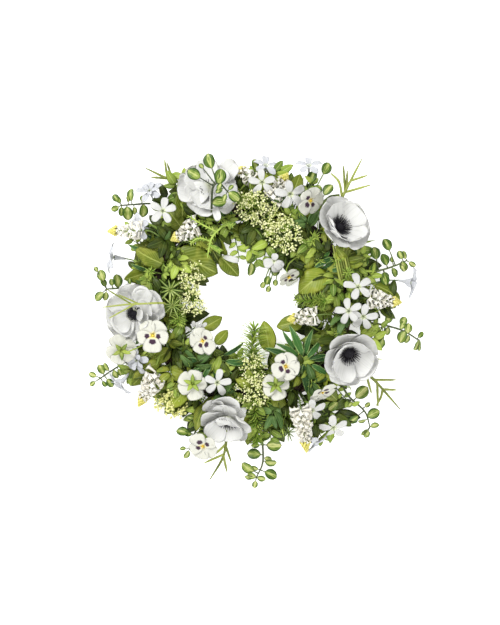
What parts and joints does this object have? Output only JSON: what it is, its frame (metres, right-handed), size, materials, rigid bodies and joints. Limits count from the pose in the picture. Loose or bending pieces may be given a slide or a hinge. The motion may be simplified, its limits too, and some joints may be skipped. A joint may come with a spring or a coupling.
{
  "type": "summer wreath",
  "caption": "Round artificial summer wreath of white anemones, violas, jasmine and mixed green sprays on a vine ring.",
  "frame": {"origin": "middle of the wreath's outline, on the surface it lies on", "axes": "+Z towards the wreath's face, +Y towards its top, +X to the right seen from the face"},
  "size_m": [0.4223, 0.4207, 0.088],
  "materials": {
    "vine": "rough bark",
    "white_silk": "matte silk",
    "cream_silk": "matte silk",
    "black_heart": "flocked",
    "bud_cream": "matte",
    "lime": "matte",
    "olive": "matte",
    "variegated": "printed silk",
    "leaf_green": "printed silk"
  },
  "bodies": {
    "root": {"anemone_1_heart": "black_heart", "anemone_1_petals": "white_silk", "anemone_2_heart": "black_heart", "anemone_2_petals": "white_silk", "anemone_3_heart": "black_heart", "anemone_3_petals": "white_silk", "anemone_4_heart": "black_heart", "anemone_4_petals": "white_silk", "anemone_5_heart": "black_heart", "anemone_5_petals": "white_silk", "antler_sprig_1": "olive", "antler_sprig_2": "olive", "antler_sprig_3": "olive", "antler_sprig_4": "olive", "antler_sprig_5": "olive", "antler_sprig_6": "olive", "bud_umbel_1": "bud_cream", "bud_umbel_2": "bud_cream", "bud_umbel_3": "bud_cream", "bud_umbel_4": "bud_cream", "floret_spike_1": "cream_silk", "floret_spike_2": "cream_silk", "floret_spike_3": "cream_silk", "floret_spike_4": "cream_silk", "floret_spike_5": "cream_silk", "floret_spike_6": "cream_silk", "floret_spike_7": "cream_silk", "jasmine_1": "white_silk", "jasmine_2": "white_silk", "jasmine_3": "white_silk", "jasmine_4": "white_silk", "jasmine_5": "white_silk", "jasmine_6": "white_silk", "leaf_twig_1": "leaf_green", "leaf_twig_2": "leaf_green", "leaf_twig_3": "leaf_green", "leaf_twig_4": "leaf_green", "leaf_twig_5": "leaf_green", "leafy_spray_1": "variegated", "leafy_spray_2": "variegated", "leafy_spray_3": "variegated", "leafy_spray_4": "variegated", "leafy_spray_5": "variegated", "leafy_spray_6": "variegated", "leafy_spray_7": "variegated", "leafy_spray_8": "variegated", "leafy_spray_9": "variegated", "needle_sprig_1": "lime", "needle_sprig_2": "lime", "needle_sprig_3": "lime", "vine_ring": "vine", "viola_1": "cream_silk", "viola_2": "cream_silk", "viola_3": "cream_silk", "viola_4": "cream_silk", "viola_5": "cream_silk", "viola_6": "cream_silk", "viola_7": "cream_silk", "viola_8": "cream_silk", "viola_9": "cream_silk"}
  },
  "joints": []
}
